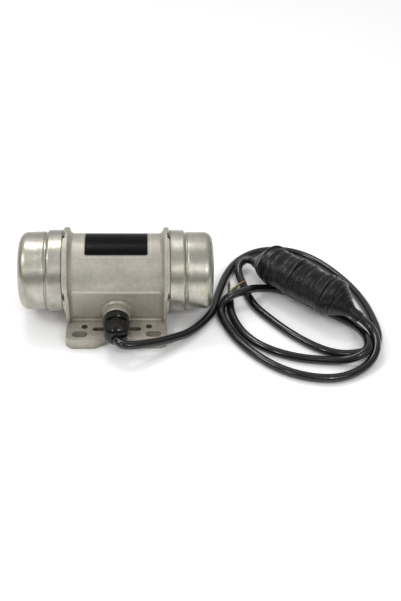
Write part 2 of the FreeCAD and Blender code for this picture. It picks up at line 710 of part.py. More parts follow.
# Cable gland: body screwed into the boss, rubber seal and dome nut
nut_from = collar_t + nut_gap
inner_end = seal_from + 4.0
gland_body = entry_spin([
    (-thread_l, thread_r - 3.8), (seal_from, thread_r - 3.8), (seal_from, seal_r), (inner_end, seal_r),
    (inner_end, thread_r), (-thread_l, thread_r),
])
collar = hexagon(collar_flats, V(0, -boss_face, entry_z), V(0, -1, 0), collar_t)
collar = collar.common(entry_spin([
    (0, 0), (0, collar_r - 0.6), (0.8, collar_r), (collar_t - 0.8, collar_r),
    (collar_t, collar_r - 0.8), (collar_t, 0),
]))
collar = collar.cut(Part.makeCylinder(thread_r - 1, 2 * collar_t, V(0, -boss_face + 1, entry_z),
                                      V(0, -1, 0)))
save(gland_body.fuse(collar).removeSplitter(), "gland_body")
grip_r = cable_r + grip_clear
mouth_r = grip_r + 1.05
seal_taper = gland_l - 5.0
save(entry_spin([(seal_from, grip_r), (gland_l, grip_r), (gland_l, mouth_r), (seal_taper, seal_r),
                 (seal_from, seal_r)]), "gland_seal")
nut_r = collar_r - 0.2
nut = hexagon(nut_flats, V(0, -boss_face - nut_from, entry_z), V(0, -1, 0), gland_l - nut_from)
nut = nut.common(entry_spin([
    (nut_from, 0), (nut_from, nut_r - 0.9), (nut_from + 0.8, nut_r), (gland_l - 8, nut_r),
    ((gland_l - 2.6, nut_r - 2.1), (gland_l, nut_r - 6.2)), (gland_l, 0),
]))
nut = nut.cut(entry_spin([
    (nut_from, 0), (nut_from, thread_r), (inner_end, thread_r), (inner_end, seal_r),
    (seal_taper, seal_r), (gland_l, mouth_r), (gland_l, 0),
]))
save(nut, "gland_nut")

# Leads, capacitor and its tape
save(tube(motor_points, cable_r, V(0, -boss_face + 5, entry_z)), "motor_lead")
save(tube(supply_points, cable_r), "supply_lead")
along = V(pack_right - pack_left).normalize()
pack_l = (pack_right - pack_left).Length
capacitor = Part.makeCylinder(pack_r - tape_t, pack_l - 2 * end_pad, pack_left + along * end_pad, along)
save(capacitor, "capacitor")


def circle_wire(centre, direction, radius):
    """Circle as a wire."""
    return Part.Wire(Part.makeCircle(radius, centre, direction))


nozzle_root = nozzle_tip - V(nozzle_way).normalize() * nozzle_l
wrap = Part.makeCylinder(pack_r, pack_l, pack_left, along)
left_cone = Part.makeLoft([circle_wire(pack_left, along, pack_r),
                           circle_wire(pack_left * 0.42 + nub_tip * 0.58, along, 2 * nub_r),
                           circle_wire(nub_tip, nub_way, nub_r)], True, True)
right_cone = Part.makeLoft([circle_wire(pack_right, along, pack_r),
                            circle_wire(nozzle_root, along, nozzle_r + 0.4)], True, True)
nozzle = Part.makeCylinder(nozzle_r, nozzle_l, nozzle_root, nozzle_way)
wrap = wrap.fuse([left_cone, right_cone, nozzle]).cut(capacitor).removeSplitter()
save(wrap, "capacitor_wrap")

# Bare supply cores that stand out of the lead's free end
for name, points in core_points.items():
    save(tube(points, core_r), name)
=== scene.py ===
import bisect
import math

import bmesh
import bpy
from bpy.props import FloatProperty, FloatVectorProperty, IntProperty, PointerProperty
from mathutils import Matrix, Vector, noise


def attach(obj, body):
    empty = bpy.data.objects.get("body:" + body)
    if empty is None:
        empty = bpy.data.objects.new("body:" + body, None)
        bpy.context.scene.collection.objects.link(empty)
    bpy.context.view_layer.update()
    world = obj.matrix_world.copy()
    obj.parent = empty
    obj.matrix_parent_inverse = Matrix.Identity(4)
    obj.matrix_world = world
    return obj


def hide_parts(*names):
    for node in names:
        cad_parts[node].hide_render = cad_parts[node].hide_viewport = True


bl_info = {
    "name": "Vibration motor",
    "version": (1, 0, 0),
    "blender": (4, 5, 0),
    "location": "View3D > Sidebar > Vibration motor",
    "description": "Finishes, leads, tape wrap and studio for the vibration motor",
    "category": "Object",
}

# Metres. X runs along the shaft, Z is up, the front with the cable entry faces -Y.
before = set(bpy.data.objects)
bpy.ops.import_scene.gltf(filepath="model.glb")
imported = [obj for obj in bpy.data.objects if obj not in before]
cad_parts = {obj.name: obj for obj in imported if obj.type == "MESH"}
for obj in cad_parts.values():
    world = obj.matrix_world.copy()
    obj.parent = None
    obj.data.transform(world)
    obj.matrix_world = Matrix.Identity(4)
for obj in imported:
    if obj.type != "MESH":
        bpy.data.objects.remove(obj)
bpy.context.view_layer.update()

SHAFT_HEIGHT = 0.0435
FRAME_BODY = "motor_frame"

# The cast ridge on the front and back walls: its half length, half the width inside it, and the
# heights of its crest, with a painted highlight, and of the band under it, with painted shade, from
# the shaft
RIDGE_LONG = 0.0400
RIDGE_OUT = 0.0344
RIDGE_CREST = 0.0018
RIDGE_UNDER = -0.0010

# Where the outer half of the flanges, with the pry notches, starts; no painted shade is put there
RIM_START = 0.0457

# Control points of the two leads, as in the solid model but for small moves at their ends
MOTOR_LEAD = (
    (0, -0.0655, 0.021), (0, -0.074, 0.021), (0.0056, -0.0796, 0.0207), (0.0144, -0.0793, 0.0192),
    (0.026, -0.0745, 0.017), (0.0385, -0.0683, 0.0136), (0.053, -0.0587, 0.0097),
    (0.0689, -0.0465, 0.0059), (0.0837, -0.028, 0.0042), (0.093, -0.0116, 0.004),
    (0.0968, 0.0055, 0.004), (0.1027, 0.0253, 0.004), (0.1087, 0.0428, 0.004),
    (0.1174, 0.0598, 0.004), (0.1298, 0.0742, 0.004), (0.146, 0.0842, 0.004),
    (0.165, 0.087, 0.004), (0.1845, 0.083, 0.004), (0.203, 0.071, 0.004),
    (0.2205, 0.049, 0.004), (0.235, 0.0225, 0.004), (0.2432, -0.0017, 0.004),
    (0.247, -0.0254, 0.004), (0.2482, -0.046, 0.004), (0.245, -0.0615, 0.004),
    (0.235, -0.0715, 0.004), (0.220, -0.076, 0.004), (0.205, -0.076, 0.004),
    (0.1905, -0.070, 0.004), (0.1748, -0.058, 0.004), (0.1593, -0.042, 0.004),
    (0.1458, -0.0246, 0.004), (0.1342, -0.0078, 0.004), (0.1279, 0.011, 0.004),
    (0.1248, 0.030, 0.004), (0.1218, 0.0435, 0.0054), (0.1224, 0.0532, 0.0082),
    (0.1278, 0.0594, 0.0108), (0.1346, 0.060, 0.012), (0.1411, 0.0506, 0.0126),
)
SUPPLY_LEAD = (
    (0.2268, -0.0408, 0.0202), (0.2355, -0.049, 0.0178), (0.240, -0.059, 0.0148),
    (0.2406, -0.0715, 0.0128), (0.2367, -0.0835, 0.0088), (0.2277, -0.0933, 0.005),
    (0.2122, -0.1035, 0.004), (0.194, -0.1085, 0.004), (0.1713, -0.1057, 0.004),
    (0.149, -0.096, 0.004), (0.1282, -0.0775, 0.004), (0.1126, -0.0562, 0.004),
    (0.1028, -0.034, 0.004), (0.0989, -0.016, 0.0048), (0.1024, -0.0053, 0.0098),
    (0.110, -0.0018, 0.0142), (0.120, 0.002, 0.015), (0.1325, 0.009, 0.0142),
    (0.146, 0.0176, 0.0072), (0.1595, 0.0213, 0.004), (0.174, 0.013, 0.004),
    (0.195, -0.007, 0.004), (0.213, -0.0215, 0.004), (0.226, -0.0345, 0.005),
    (0.231, -0.050, 0.0088), (0.2325, -0.065, 0.0135), (0.231, -0.079, 0.0147),
    (0.2215, -0.0864, 0.011), (0.2083, -0.0863, 0.0056), (0.1912, -0.0842, 0.004),
    (0.1688, -0.0812, 0.004), (0.147, -0.0729, 0.004), (0.1298, -0.061, 0.004),
    (0.1176, -0.0446, 0.004), (0.1108, -0.024, 0.004), (0.1090, -0.006, 0.004),
    (0.1102, 0.0085, 0.004),
)

# The three cores at the free end: insulation, then the bared strands to the last point
CORES = {
    "core_brown": (
        (0.1092, 0.0078, 0.0039), (0.1096, 0.015, 0.0034), (0.1108, 0.025, 0.0022),
        (0.1117, 0.0322, 0.0016), (0.112, 0.0365, 0.0014),
    ),
    "core_blue": (
        (0.1116, 0.0080, 0.0039), (0.1122, 0.014, 0.0034), (0.1146, 0.0193, 0.0025),
        (0.1176, 0.0235, 0.0019), (0.1202, 0.0270, 0.0014),
    ),
    "core_green_yellow": (
        (0.1102, 0.0080, 0.006), (0.1112, 0.014, 0.0072), (0.1170, 0.0186, 0.0091),
        (0.1230, 0.0237, 0.0093), (0.1266, 0.0270, 0.0092),
    ),
}

# The pack's axis, from the lead's nub to the nozzle, and its turn seen from above
PACK_AXIS = (
    (0.1395, 0.0530, 0.0125), (0.1453, 0.0432, 0.0182), (0.1530, 0.0302, 0.0262),
    (0.1592, 0.0236, 0.0268), (0.1806, 0.0030, 0.0268), (0.2020, -0.0175, 0.0268),
    (0.2085, -0.0237, 0.0264), (0.2215, -0.0358, 0.0216), (0.2289, -0.0428, 0.0196),
)
PACK_TURN = math.atan2(-0.0411, 0.0428)

# Bared strands: how many lie round the middle one, the steps of their twist, how far they start
# inside the sleeve, how deep they run in strand diameters, their twist in turns, how much they
# spread towards their ends, and how much shorter the next one is cut
STRANDS_ROUND = 6
STRAND_STEPS = 6
STRAND_TUCK = 0.0015
STRAND_DEPTH = 1.35
STRAND_TWIST = 0.45
STRAND_SPREAD = 0.35
STRAND_TRIM = 0.06

# The tape's section: points across one turn, how deep its far edge tucks under, in steps, and how
# far before the pack's end the winding starts, in turns
TAPE_ROWS = 9
TAPE_TUCK = 0.2
TAPE_LEAD_IN = 1.3

# How much closer the turns lie at the nozzle, and wider at the nub, than in the middle
NARROWING = 0.45

# How a tape edge strays: how fast with the turns, a seed, and its share of the wander
STRAYS = (
    (0.83, (0.0, 5.1, 7.0), 1.0),
    (2.1, (0.0, 3.7, 0.0), 0.7),
    (9.0, (0.0, 1.2, 5.0), 0.14),
)

# How the steps differ in height from turn to turn, and how the turns swell: how fast, seed, size
STEP_CHANGE = (1.7, (0.0, 8.0, 2.0), 1.1)
TURN_SWELL = (0.9, (4.0, 2.5, 9.0), 0.0012)

# Creases, soft dents and ribs of the turns below: how fast along the pack and round it, height
CREASES = (
    (190, 1.6, 0.00025),
    (66.5, 0.56, 0.0006),
    (480, 0.5, 0.0007),
)
CONE_FOLDS = (40, 5, 0.00022)

# Lengths of the calm ends of the tape and of the two cones, and the share of creases on a cone
CALM_END = 0.004
LEFT_CONE = 0.03
RIGHT_CONE = 0.034
CONE_CALM = 0.6

# The left shoulder sags at its top, and the body behind it bulges a little upwards
SHOULDER = 0.0235
SHOULDER_HALF = 0.008
SHOULDER_SAG = 0.12
BODY_BULGE = 0.03
BODY_EASE = 0.01

# How far each corner of the pack's outline is rounded to either side
ROUNDING = 0.0016

# Depth and radius of the mouth that closes each end of the tape on the cable, and how far from
# the axis and from the cut the rim is looked for
MOUTH = ((0.0, 0.0045), (0.0012, 0.0036), (0.0024, 0.0030))
RIM_REACH = 0.02
RIM_FLAT = 0.002

# Where the camera looks, the sensor that its lens is given for, and its nearest view
CAMERA_TARGET = (0.080653, 0, 0.006118)
SENSOR_WIDTH = 36
NEAREST_VIEW = 0.02

# The floor's sheet: its middle, just under the feet, and its radius
FLOOR_MIDDLE = (0.08, 0, -0.0002)
FLOOR_RADIUS = 4.0

# The lamps: place, width and height, the point that each faces, and the setting of its power
MIDDLE = (0.08, 0, 0.03)
LAMPS = {
    "softbox": ((-0.72, -0.28, 1.02), (0.34, 0.34), MIDDLE, "softbox"),
    "strip": ((0.66, -0.84, 0.97), (1.0, 0.07), (0.66, 0, 0.03), "strip"),
    "back_lamp": ((-0.16, 0.52, 1.15), (0.4, 0.2), MIDDLE, "back"),
    "left_lamp": ((-0.60, -0.98, 0.84), (0.10, 0.10), MIDDLE, "lamps"),
    "right_lamp": ((0.52, -1.02, 0.88), (0.10, 0.10), MIDDLE, "lamps"),
}
LAMP_COLOUR = (1.0, 0.995, 0.985)

# The room's brightness from the floor to overhead, what a direction's height and its lie behind
# the motor count for in that, and how blue the room is
ROOM_LEVELS = ((0.0, 0.12), (0.15, 0.17), (0.37, 0.30), (0.56, 0.42), (0.75, 0.52), (1.0, 0.92))
ROOM_HEIGHT = 0.75
ROOM_BEHIND = 0.62
ROOM_BLUE = 1.01

RUBBER_BLACK = (0.012, 0.012, 0.012)


class LeadSizes(bpy.types.PropertyGroup):
    """Sizes of the leads and their cores."""

    cable_diameter: FloatProperty(
        name="Cable diameter", description="Outside diameter of both leads", default=0.008,
        unit="LENGTH",
    )
    core_diameter: FloatProperty(
        name="Core diameter", description="Diameter of one insulated core", default=0.0021,
        unit="LENGTH",
    )
    strand_diameter: FloatProperty(
        name="Strand diameter", description="Diameter of one bared copper strand",
        default=0.00042, unit="LENGTH",
    )


class TapeSizes(bpy.types.PropertyGroup):
    """Sizes of the tape wound round the capacitor."""

    radius: FloatProperty(
        name="Radius", description="Radius of the wrapped pack", default=0.0177, unit="LENGTH",
    )
    pitch: FloatProperty(
        name="Pitch", description="Mean advance of the tape in one turn", default=0.0050,
        unit="LENGTH",
    )
    step: FloatProperty(
        name="Step", description="Height of a tape edge over the turn below it",
        default=0.0014, unit="LENGTH",
    )
    wander: FloatProperty(
        name="Wander", description="How far a tape edge strays along the pack",
        default=0.0014, unit="LENGTH",
    )
    segments: IntProperty(
        name="Segments", description="Faces round the pack", default=60,
    )


class FinishColours(bpy.types.PropertyGroup):
    """Main colours, linear."""

    casting: FloatVectorProperty(
        name="Casting", description="Bead-blasted aluminium", subtype="COLOR",
        default=(0.525, 0.50, 0.43),
    )
    cover: FloatVectorProperty(
        name="Cover", description="Drawn steel of the end covers", subtype="COLOR",
        default=(0.53, 0.517, 0.46),
    )
    rubber: FloatVectorProperty(
        name="Cable", description="Black cable jacket", subtype="COLOR",
        default=(0.0050, 0.0050, 0.0046),
    )
    tape: FloatVectorProperty(
        name="Tape", description="Black insulating tape", subtype="COLOR",
        default=(0.006, 0.0059, 0.006),
    )


class StudioSettings(bpy.types.PropertyGroup):
    """Camera, floor and lights."""

    azimuth: FloatProperty(
        name="Azimuth", description="Camera heading from +Y towards +X", subtype="ANGLE",
        default=math.radians(4.659),
    )
    tilt: FloatProperty(
        name="Tilt", description="Camera angle above the horizon", subtype="ANGLE",
        default=math.radians(39.424),
    )
    roll: FloatProperty(
        name="Roll", description="Camera turn about its own line of sight", subtype="ANGLE",
        default=math.radians(2.772),
    )
    distance: FloatProperty(
        name="Distance", description="Camera distance from its target", default=0.864905,
        unit="LENGTH",
    )
    lens: FloatProperty(
        name="Lens", description="Focal length on a 36 mm sensor, in millimetres",
        default=52.80,
    )
    floor: FloatVectorProperty(
        name="Floor", description="Colour of the floor", subtype="COLOR",
        default=(0.9, 0.9, 0.905),
    )
    softbox: FloatProperty(
        name="Softbox", description="Power of the overhead softbox, in watts", default=3.3,
    )
    fill: FloatProperty(
        name="Fill", description="Brightness of the surroundings", default=1.0,
    )
    lamps: FloatProperty(
        name="Lamps", description="Power of each lamp beside the camera, in watts", default=1.7,
    )
    strip: FloatProperty(
        name="Strip", description="Power of the long light over the front, in watts", default=2.4,
    )
    back: FloatProperty(
        name="Back lamp", description="Power of the lamp behind the motor, in watts", default=2.8,
    )
    glow: FloatProperty(
        name="Glow", description="Light that the floor gives off by itself", default=0.32,
    )


class Finish:
    """A material, with the node recipes that the motor's finishes share."""

    def __init__(self, name, **shader):
        self.material = bpy.data.materials.new(name)
        self.material.use_nodes = True
        self.tree = self.material.node_tree
        self.shader = self.tree.nodes["Principled BSDF"]
        for socket, value in shader.items():
            self.shader.inputs[socket.replace("_", " ")].default_value = value

    def add(self, kind, inputs=(), **settings):
        """A node; each input is a value or another node's output, by name or number."""
        node = self.tree.nodes.new("ShaderNode" + kind)
        for key, value in settings.items():
            setattr(node, key, value)
        for key, value in dict(inputs).items():
            if isinstance(value, bpy.types.NodeSocket):
                self.tree.links.new(value, node.inputs[key])
            else:
                node.inputs[key].default_value = value
        return node

    def place(self, scale=(1, 1, 1), centre=(0, 0, 0), source="Object"):
        """Coordinates on the object, centred and stretched."""
        where = self.add("TexCoord").outputs[source]
        offset = tuple(-c * s for c, s in zip(centre, scale))
        return self.add(
            "Mapping", {"Vector": where, "Location": offset, "Scale": scale}
        ).outputs["Vector"]

    def noise(self, vector, scale, detail=3.0, roughness=0.55, distortion=0.0):
        """Soft noise, from about 0.3 to 0.7."""
        return self.add("TexNoise", {
            "Vector": vector, "Scale": scale, "Detail": detail, "Roughness": roughness,
            "Distortion": distortion,
        }).outputs["Fac"]

    def math(self, operation, *values, clamp=False):
        """A number worked out from others."""
        return self.add("Math", dict(enumerate(values)), operation=operation,
                        use_clamp=clamp).outputs["Value"]

    def spread(self, value, low, high, to_low=0.0, to_high=1.0):
        """The value from low to high, as a number from to_low to to_high."""
        return self.add("MapRange", {
            "Value": value, "From Min": low, "From Max": high, "To Min": to_low, "To Max": to_high,
        }).outputs["Result"]

    def blend(self, share, first, second):
        """A colour between two others; each is a value or an output."""
        first = (*first, 1) if isinstance(first, tuple) else first
        second = (*second, 1) if isinstance(second, tuple) else second
        return self.add("Mix", {0: share, 6: first, 7: second}, data_type="RGBA").outputs[2]

    def bump(self, height, distance, strength=1.0, after=None):
        """A normal that follows the height, in metres."""
        inputs = {"Height": height, "Distance": distance, "Strength": strength}
        if after is not None:
            inputs["Normal"] = after
        return self.add("Bump", inputs).outputs["Normal"]

    def edge_wear(self, radius, low=0.02, high=0.25):
        """From 0 on a flat face to 1 on an edge that is rubbed."""
        rounded = self.add("Bevel", {"Radius": radius}, samples=6).outputs["Normal"]
        flat = self.add("NewGeometry").outputs["Normal"]
        same = self.add("VectorMath", {0: rounded, 1: flat}, operation="DOT_PRODUCT")
        return self.spread(self.math("SUBTRACT", 1.0, same.outputs["Value"]), low, high)

    def shade_and_grime(self, colour, shade_and_dirt, reach, low=0.3, high=0.9):
        """The colour, darker in hollows up to the reach across: painted shade, and soiling on metal.
        """
        open_share = self.add("AmbientOcclusion", {"Distance": reach}, samples=8).outputs["AO"]
        return self.blend(self.spread(open_share, low, high), shade_and_dirt, colour)

    def paint(self, colour=None, roughness=None, normal=None):
        """Joins the recipes to the shader."""
        for socket, value in (("Base Color", colour), ("Roughness", roughness), ("Normal", normal)):
            if value is not None:
                self.tree.links.new(value, self.shader.inputs[socket])
        return self.material


def shade(colour, share):
    """The colour, darker or lighter."""
    return tuple(c * share for c in colour)


def tint(colour, *shares):
    """The colour, with its red, green and blue changed by their own shares."""
    return tuple(c * share for c, share in zip(colour, shares))


def cast_aluminium(colour):
    """Bead-blasted die casting: mottling, a fine grain, rubbed edges that also carry a painted
    highlight, a painted highlight and painted shade along the wall ridge, and painted shade with
    soiling in hollows.
    """
    finish = Finish("cast aluminium", Metallic=0.6)
    clouds = finish.noise(finish.place(), 38, 4, 0.6)
    flow = finish.noise(finish.place(), 240, 4, 0.65)
    grain = finish.noise(finish.place(), 1100, 2, 0.6)
    tone = finish.math("ADD", finish.math("MULTIPLY", clouds, 0.6),
                       finish.math("MULTIPLY", flow, 0.4))
    body = finish.blend(finish.spread(tone, 0.36, 0.64), shade(colour, 0.78), shade(colour, 1.12))
    speckled = finish.blend(finish.spread(grain, 0.38, 0.66, 0.0, 0.5), body,
                            shade(colour, 0.70))
    # Lighter colour for rubbed edges, laid on them partly as a painted highlight, and for the painted
    # highlight on the ridge's crest
    rubbed = shade(colour, 1.7)
    worn = finish.blend(finish.edge_wear(0.0011, 0.01, 0.13), speckled, rubbed)
    parts = finish.add("SeparateXYZ", {0: finish.add("TexCoord").outputs["Object"]}).outputs
    along = finish.math("ABSOLUTE", parts[0])
    outside = finish.math(
        "MULTIPLY", finish.math("GREATER_THAN", finish.math("ABSOLUTE", parts[1]), RIDGE_OUT),
        finish.math("LESS_THAN", along, RIDGE_LONG))

    def band(height, half, fade, share):
        """A level band on the ridge: the share up to half from its middle, none past fade."""
        off = finish.math("ABSOLUTE", finish.math("SUBTRACT", parts[2], SHAFT_HEIGHT + height))
        return finish.math("MULTIPLY", outside, finish.spread(off, half, fade, share, 0.0))

    # Painted highlight along the ridge's crest
    crest_highlit = finish.blend(band(RIDGE_CREST, 0.0006, 0.0013, 0.4), worn, rubbed)
    # Painted shade in a band under the ridge
    ridge_lit_and_shaded = finish.blend(band(RIDGE_UNDER, 0.0003, 0.0012, 0.55), crest_highlit, shade(colour, 0.5))
    # Painted shade, with some soiling, in the casting's hollows
    shaded_and_grimy = finish.shade_and_grime(ridge_lit_and_shaded, tint(colour, 0.40, 0.38, 0.30), 0.007)
    # The outer flange halves are left without painted shade and soiling
    rim = finish.math("GREATER_THAN", along, RIM_START)
    rim_unshaded = finish.blend(rim, shaded_and_grimy, worn)
    rough = finish.spread(tone, 0.35, 0.65, 0.56, 0.46)
    first = finish.bump(flow, 0.0002, 0.3)
    return finish.paint(rim_unshaded, rough, finish.bump(grain, 0.0001, 0.9, first))


def drawn_steel(colour):
    """Drawn steel cup: fine marks round the axis, cloudy stains, a rubbed rim and painted shade with
    soiling in its grooves.
    """
    finish = Finish("drawn steel", Metallic=1.0)
    where = finish.place(centre=(0, 0, SHAFT_HEIGHT))
    parts = finish.add("SeparateXYZ", {0: where}).outputs
    out = finish.math("SQRT", finish.math(
        "ADD", finish.math("MULTIPLY", parts[1], parts[1]),
        finish.math("MULTIPLY", parts[2], parts[2])))
    along = finish.math("SUBTRACT", finish.math("ABSOLUTE", parts[0]), out)
    lines = finish.add("CombineXYZ", {
        0: finish.math("MULTIPLY", along, 60.0), 1: parts[1], 2: parts[2],
    }).outputs[0]
    streaks = finish.noise(lines, 46, 3, 0.7)
    fine = finish.noise(lines, 160, 2, 0.6)
    clouds = finish.noise(where, 30, 5, 0.65, 0.4)
    stains = finish.noise(finish.place((1.6, 1, 1)), 95, 3, 0.6, 0.6)
    tone = finish.math("ADD", finish.math("MULTIPLY", clouds, 0.7),
                       finish.math("MULTIPLY", streaks, 0.3))
    body = finish.blend(finish.spread(tone, 0.36, 0.64), shade(colour, 0.62), shade(colour, 1.2))
    warm = finish.blend(finish.spread(stains, 0.50, 0.70, 0.0, 0.55), body,
                        tint(colour, 0.80, 0.72, 0.56))
    hue = finish.noise(where, 26, 3, 0.6, 0.8)
    olive = finish.blend(finish.spread(hue, 0.51, 0.64, 0.0, 0.4), warm,
                         tint(colour, 0.93, 0.95, 0.75))
    rosy = finish.blend(finish.spread(hue, 0.46, 0.35, 0.0, 0.35), olive,
                        tint(colour, 1.06, 0.98, 1.06))
    worn = finish.blend(finish.edge_wear(0.0007), rosy, shade(colour, 1.3))
    # Painted shade, with some soiling, in the cover's grooves and gaps
    shaded_and_grimy = finish.shade_and_grime(worn, shade(colour, 0.3), 0.004)
    rough = finish.spread(tone, 0.36, 0.64, 0.44, 0.28)
    first = finish.bump(clouds, 0.0012, 0.3)
    second = finish.bump(streaks, 0.00012, 0.5, first)
    return finish.paint(shaded_and_grimy, rough, finish.bump(fine, 0.00005, 0.6, second))


def black_plate():
    """Bare satin black plate with faint rubbing."""
    finish = Finish("black plate", IOR=1.45, Specular_IOR_Level=0.06)
    black, rubbed = (0.004, 0.004, 0.0045), (0.009, 0.009, 0.0095)
    dust_grey, bare_edge = (0.04, 0.04, 0.038), (0.28, 0.28, 0.27)
    rubs = finish.noise(finish.place((1, 7, 7)), 220, 4, 0.7)
    dust = finish.noise(finish.place(), 900, 2, 0.6)
    colour = finish.blend(finish.spread(rubs, 0.52, 0.72, 0.0, 0.5), black, rubbed)
    dusty = finish.blend(finish.spread(dust, 0.66, 0.8, 0.0, 0.3), colour, dust_grey)
    worn = finish.blend(finish.edge_wear(0.0005), dusty, bare_edge)
    rough = finish.spread(rubs, 0.4, 0.65, 0.24, 0.4)
    return finish.paint(worn, rough, finish.bump(rubs, 0.00003, 0.5))


def black_polyamide():
    """Glossy black gland plastic with a slight moulded skin."""
    finish = Finish("gland polyamide", IOR=1.5, Specular_IOR_Level=0.4)
    black, smeared, rubbed = (0.004, 0.004, 0.0042), (0.010, 0.0098, 0.0095), (0.045, 0.044, 0.042)
    skin = finish.noise(finish.place(), 750, 3, 0.6)
    smears = finish.noise(finish.place(), 130, 3, 0.6)
    colour = finish.blend(finish.spread(smears, 0.4, 0.65), black, smeared)
    worn = finish.blend(finish.edge_wear(0.0006, 0.02, 0.4), colour, rubbed)
    rough = finish.spread(smears, 0.35, 0.68, 0.07, 0.14)
    first = finish.bump(smears, 0.0003, 0.15)
    return finish.paint(worn, rough, finish.bump(skin, 0.00002, 0.4, first))


def cable_jacket(colour):
    """Black cable jacket, semi-gloss, with drag marks along it and a little dust."""
    finish = Finish("cable jacket", IOR=1.5, Specular_IOR_Level=0.6)
    dust_brown = (0.045, 0.042, 0.037)
    along = finish.place(source="UV")
    drag = finish.noise(finish.place((60, 3, 1), source="UV"), 3.5, 3, 0.6)
    dust = finish.noise(finish.place(), 700, 3, 0.65)
    skin = finish.noise(finish.place(), 1600, 2, 0.5)
    tone = finish.blend(finish.spread(drag, 0.35, 0.65), shade(colour, 0.8), shade(colour, 1.5))
    dusty = finish.blend(finish.spread(dust, 0.62, 0.8, 0.0, 0.35), tone, dust_brown)
    rough = finish.spread(drag, 0.35, 0.65, 0.13, 0.22)
    first = finish.bump(finish.noise(along, 90, 2, 0.5), 0.00004, 0.4)
    return finish.paint(dusty, rough, finish.bump(skin, 0.00003, 0.5, first))


def insulating_tape(colour):
    """Black insulating tape: ribs along each turn, a dusty edge that also carries a painted
    highlight, and painted shade in the lap under it.
    """
    finish = Finish("insulating tape", IOR=1.5, Specular_IOR_Level=0.42, Sheen_Weight=0.04,
                    Sheen_Roughness=0.3)
    dust_brown = (0.06, 0.057, 0.052)
    turned = finish.add("Mapping", {
        "Vector": finish.add("TexCoord").outputs["Object"],
        "Rotation": (0, 0, PACK_TURN), "Scale": (1, 0.12, 0.12),
    }, vector_type="TEXTURE").outputs["Vector"]
    ribs = finish.noise(turned, 300, 3, 0.6)
    creases = finish.noise(finish.place(), 130, 4, 0.6, 0.8)
    fine = finish.noise(finish.place(), 900, 3, 0.6)
    lint = finish.noise(finish.place(), 650, 2, 0.7)
    lap = finish.add("Attribute", attribute_name="lap").outputs["Fac"]
    tone = finish.blend(finish.spread(creases, 0.35, 0.68), shade(colour, 0.7),
                        shade(colour, 1.3))
    ribbed = finish.blend(finish.spread(ribs, 0.50, 0.66, 0.0, 0.7), tone, shade(colour, 0.25))
    # Pale dust on the proud tape edges, partly a painted highlight
    edge = finish.math("MULTIPLY", finish.spread(lap, 0.90, 0.99),
                       finish.spread(lint, 0.40, 0.62, 0.0, 0.25))
    dusty = finish.blend(edge, ribbed, dust_brown)
    # Painted shade in the lap under each tape edge
    deep = finish.blend(finish.spread(lap, 0.02, 0.16, 0.9, 0.0), dusty, shade(colour, 0.12))
    rough = finish.spread(creases, 0.35, 0.68, 0.32, 0.27)
    first = finish.bump(creases, 0.0005, 0.02)
    second = finish.bump(ribs, 0.0006, 0.25, first)
    return finish.paint(deep, rough, finish.bump(fine, 0.00006, 0.6, second))


def core_plastic(name, colour, stripe=None):
    """Core insulation in one colour, or with a second colour in two bands along it."""
    finish = Finish(name, IOR=1.5)
    rub = finish.noise(finish.place(), 900, 3, 0.6)
    tone = finish.blend(finish.spread(rub, 0.35, 0.7), shade(colour, 0.8), shade(colour, 1.15))
    if stripe is not None:
        parts = finish.add("SeparateXYZ", {0: finish.add("TexCoord").outputs["UV"]})
        wave = finish.math("SINE", finish.math("MULTIPLY", parts.outputs[1], 4 * math.pi))
        tone = finish.blend(finish.spread(wave, -0.25, 0.05), tone, stripe)
    rough = finish.spread(rub, 0.35, 0.7, 0.35, 0.5)
    return finish.paint(tone, rough, finish.bump(rub, 0.00003, 0.5))


def plain_metal(name, colour, metallic, smooth, rough, scale, lines=(1, 1, 1)):
    """Metal of an inner piece: two tones, two gloss levels and fine marks."""
    finish = Finish(name, Metallic=metallic)
    marks = finish.noise(finish.place(lines, (0, 0, SHAFT_HEIGHT)), scale, 4, 0.6)
    clouds = finish.noise(finish.place(), 60, 3, 0.6)
    tone = finish.blend(finish.spread(clouds, 0.35, 0.65), shade(colour, 0.82), shade(colour, 1.1))
    marked = finish.blend(finish.spread(marks, 0.55, 0.75, 0.0, 0.4), tone, shade(colour, 0.6))
    worn = finish.blend(finish.edge_wear(0.0004), marked, shade(colour, 1.3))
    gloss = finish.spread(marks, 0.35, 0.65, smooth, rough)
    return finish.paint(worn, gloss, finish.bump(marks, 0.00006, 0.6))


def copper_windings():
    """Enamelled copper turns, wound round the stator, under clear varnish."""
    finish = Finish("stator windings", Metallic=0.75, Coat_Weight=0.6, Coat_Roughness=0.2)
    dark_copper, bright_copper, varnish = (0.26, 0.09, 0.035), (0.62, 0.27, 0.12), (0.30, 0.14, 0.05)
    where = finish.place((1, 0.12, 0.12), (0, 0, SHAFT_HEIGHT))
    wires = finish.noise(where, 1500, 3, 0.6)
    clouds = finish.noise(finish.place(), 120, 3, 0.6)
    tone = finish.blend(finish.spread(wires, 0.35, 0.65), dark_copper, bright_copper)
    varnished = finish.blend(finish.spread(clouds, 0.45, 0.7, 0, 0.4), tone, varnish)
    rough = finish.spread(clouds, 0.35, 0.65, 0.25, 0.42)
    return finish.paint(varnished, rough, finish.bump(wires, 0.0003, 0.8))


def soft_plastic(name, colour, rough):
    """Dull plastic or rubber of an inner piece."""
    finish = Finish(name, IOR=1.5)
    skin = finish.noise(finish.place(), 1100, 3, 0.6)
    clouds = finish.noise(finish.place(), 140, 3, 0.6)
    tone = finish.blend(finish.spread(clouds, 0.35, 0.65), shade(colour, 0.8), shade(colour, 1.2))
    gloss = finish.spread(skin, 0.35, 0.65, rough - 0.08, rough + 0.08)
    return finish.paint(tone, gloss, finish.bump(skin, 0.00005, 0.6))


def dress(material, *nodes):
    """Gives CAD nodes their finish."""
    for name in nodes:
        for material_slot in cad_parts[name].material_slots:
            material_slot.material = material


